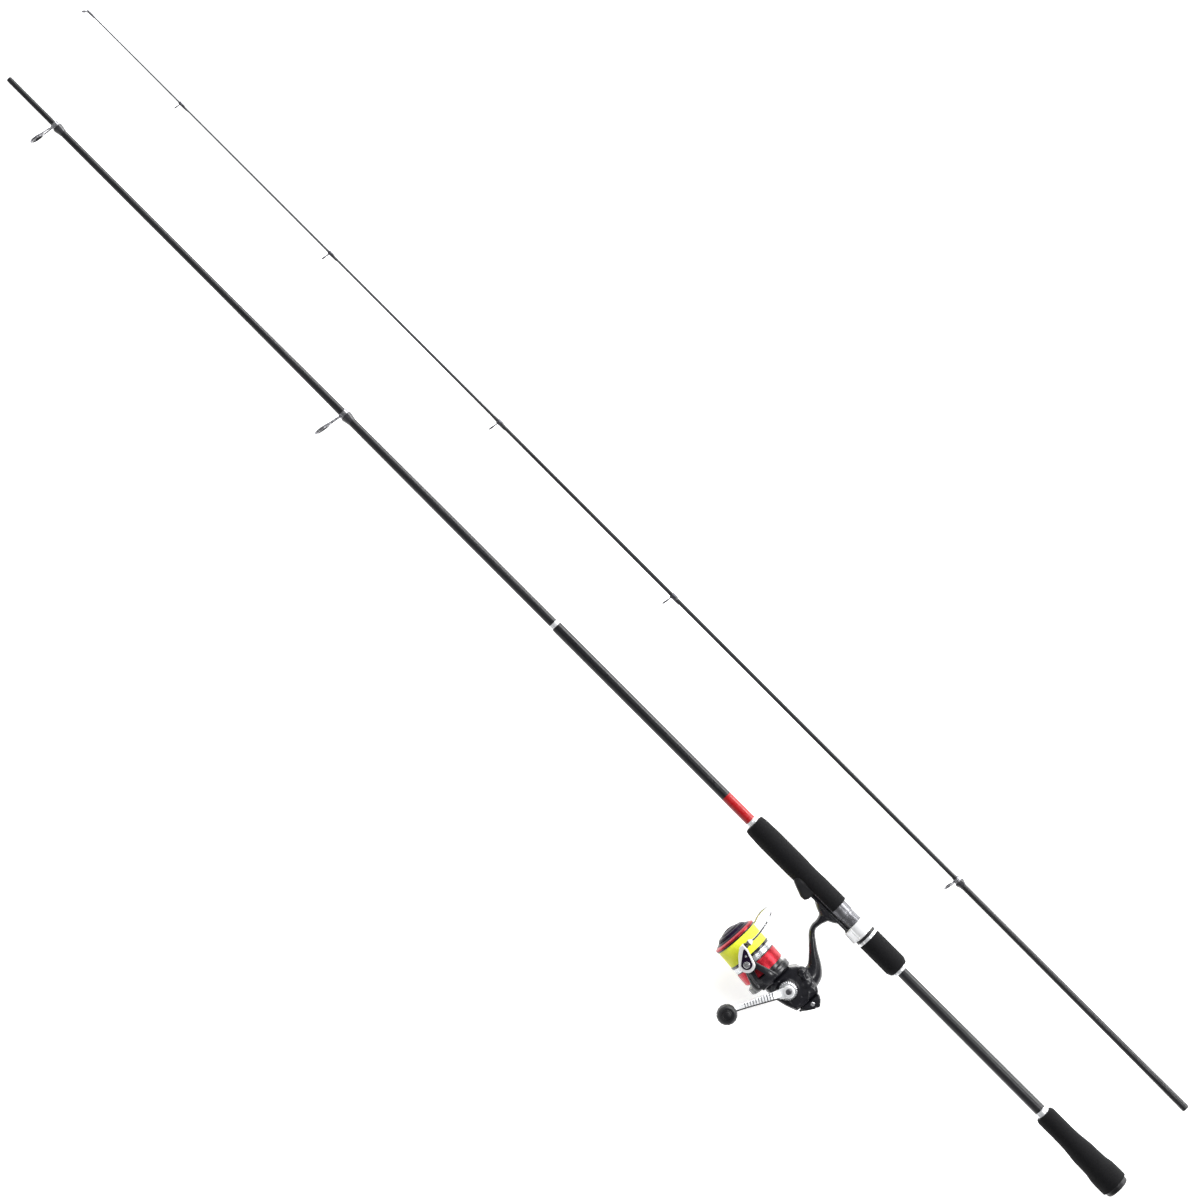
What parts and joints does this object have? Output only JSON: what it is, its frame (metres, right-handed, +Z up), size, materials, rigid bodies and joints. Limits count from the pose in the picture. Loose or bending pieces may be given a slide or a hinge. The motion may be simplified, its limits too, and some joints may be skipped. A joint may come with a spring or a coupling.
{
  "type": "fishing rod and reel",
  "caption": "Two-piece spinning rod with foam grips, chrome hood and line guides, fitted with an open-face reel with crank, bail and yellow line, laid on its side beside its tip section.",
  "frame": {"origin": "centre of the butt cap's flat end", "axes": "+X along the rod towards the tip, +Y from the rod towards the reel, +Z up on the crank side as the rod lies on its side"},
  "size_m": [1.402, 0.2401, 0.108],
  "materials": {
    "carbon": "lacquered carbon tube",
    "sleeve_gloss": "clear-coated black",
    "red_lacquer": "glossy red lacquer",
    "silver_trim": "polished",
    "eva_foam": "fine-pored foam",
    "black_plastic": "satin",
    "seat_grey": "graphite grey",
    "chrome": "bright chrome",
    "guide_steel": "gunmetal",
    "guide_ceramic": "polished ceramic",
    "thread_wrap": "thread under epoxy",
    "reel_black": "gloss black",
    "drag_gloss": "high gloss",
    "red_anodised": "anodised",
    "silver_anodised": "anodised",
    "steel": "machined",
    "gear_brass": "machined",
    "gear_plastic": "moulded",
    "knob_rubber": "soft touch",
    "line_yellow": "bright monofilament",
    "washer_felt": "pressed felt"
  },
  "bodies": {
    "butt_section": {"butt_blank": "carbon", "blank_sleeve": "sleeve_gloss", "red_band": "red_lacquer", "trim_rings": "silver_trim", "butt_grip": "eva_foam", "butt_cap": "black_plastic", "reel_seat": "seat_grey", "fore_grip": "eva_foam", "fixed_hood": "black_plastic", "guide_1_frame": "guide_steel", "guide_1_ring": "guide_ceramic", "guide_2_frame": "guide_steel", "guide_2_ring": "guide_ceramic", "butt_wraps": "thread_wrap", "reel_body": "reel_black", "side_cover": "reel_black", "rear_guard": "reel_black", "cover_screws": "steel", "shaft_bearings": "steel", "rotor_bearing": "steel", "one_way_clutch": "steel"},
    "hood": {"moving_hood": "chrome"},
    "nut": {"lock_nut": "black_plastic", "nut_grip": "eva_foam", "nut_rings": "silver_trim"},
    "lever": {"anti_reverse_lever": "reel_black"},
    "crank": {"drive_shaft": "steel", "drive_gear": "gear_brass", "handle_collar": "silver_anodised", "handle_cap": "silver_anodised", "handle_arm": "chrome"},
    "knob": {"handle_knob": "knob_rubber", "knob_cap": "black_plastic"},
    "oscillator": {"oscillation_gear": "gear_plastic"},
    "rotor": {"pinion_gear": "gear_brass", "rotor": "reel_black", "rotor_nut": "gear_brass", "bail_screws": "steel"},
    "bail": {"bail_arm": "chrome", "bail_lever": "reel_black", "bail_wire": "chrome"},
    "roller": {"line_roller": "gear_brass"},
    "stroke": {"main_shaft": "steel", "crosshead": "gear_plastic"},
    "spool": {"spool": "reel_black", "spool_lip": "red_anodised", "skirt_band": "silver_anodised", "skirt_ring": "red_anodised", "line_winding": "line_yellow", "drag_washers": "washer_felt"},
    "drag": {"drag_knob": "drag_gloss"},
    "tip_section": {"tip_blank": "carbon", "tip_wraps": "thread_wrap", "guide_3_frame": "guide_steel", "guide_4_frame": "guide_steel", "guide_5_frame": "guide_steel", "guide_6_frame": "guide_steel", "guide_7_frame": "guide_steel", "tip_top": "guide_steel", "tip_guide_rings": "guide_ceramic"}
  },
  "joints": [
    {"name": "nut_turn", "type": "hinge", "parent": "hood", "child": "nut", "pos_m": [0.3, 0, 0], "axis": [1, 0, 0], "range_deg": [0, 3360]},
    {"name": "hood_slide", "type": "slide", "parent": "butt_section", "child": "hood", "axis": [-1, 0, 0], "range_m": [0, 0.014]},
    {"name": "lever_flip", "type": "hinge", "parent": "butt_section", "child": "lever", "pos_m": [0.33748, 0.06302, 0], "axis": [0, 0, 1], "range_deg": [0, 40]},
    {"name": "crank_turn", "type": "hinge", "parent": "butt_section", "child": "crank", "pos_m": [0.33545, 0.08281, 0], "axis": [0, 0, 1], "continuous": true},
    {"name": "knob_spin", "type": "hinge", "parent": "crank", "child": "knob", "pos_m": [0.36454, 0.13299, 0], "axis": [0, 0, 1], "continuous": true},
    {"name": "oscillator_turn", "type": "hinge", "parent": "butt_section", "child": "oscillator", "pos_m": [0.32611, 0.07825, 0], "axis": [0, 0, 1], "continuous": true},
    {"name": "rotor_spin", "type": "hinge", "parent": "butt_section", "child": "rotor", "pos_m": [0.3358, 0.0878, 0], "axis": [0.9976, -0.0698, 0], "continuous": true},
    {"name": "bail_flip", "type": "hinge", "parent": "rotor", "child": "bail", "pos_m": [0.3777, 0.08487, 0], "axis": [0.0181, 0.2582, 0.9659], "range_deg": [0, 110]},
    {"name": "roller_spin", "type": "hinge", "parent": "bail", "child": "roller", "pos_m": [0.39071, 0.0788, 0.02716], "axis": [0.0674, 0.9636, -0.2588], "continuous": true},
    {"name": "spool_stroke", "type": "slide", "parent": "butt_section", "child": "stroke", "axis": [0.9976, -0.0698, 0], "range_m": [0, 0.008]},
    {"name": "spool_slip", "type": "hinge", "parent": "stroke", "child": "spool", "pos_m": [0.38568, 0.08431, 0], "axis": [0.9976, -0.0698, 0], "continuous": true},
    {"name": "drag_turn", "type": "hinge", "parent": "stroke", "child": "drag", "pos_m": [0.40563, 0.08292, 0], "axis": [0.9976, -0.0698, 0], "range_deg": [-720, 360]},
    {"name": "tip_slide", "type": "slide", "parent": "butt_section", "child": "tip_section", "axis": [0.998, 0.0605, 0.0156], "range_m": [0, 1.541]}
  ],
  "couplings": [
    {"joint": "hood_slide", "follows": "nut_turn", "m_per_rad": 0.00023873},
    {"joint": "oscillator_turn", "follows": "crank_turn", "ratio": -0.5},
    {"joint": "rotor_spin", "follows": "crank_turn", "ratio": -5.2}
  ]
}
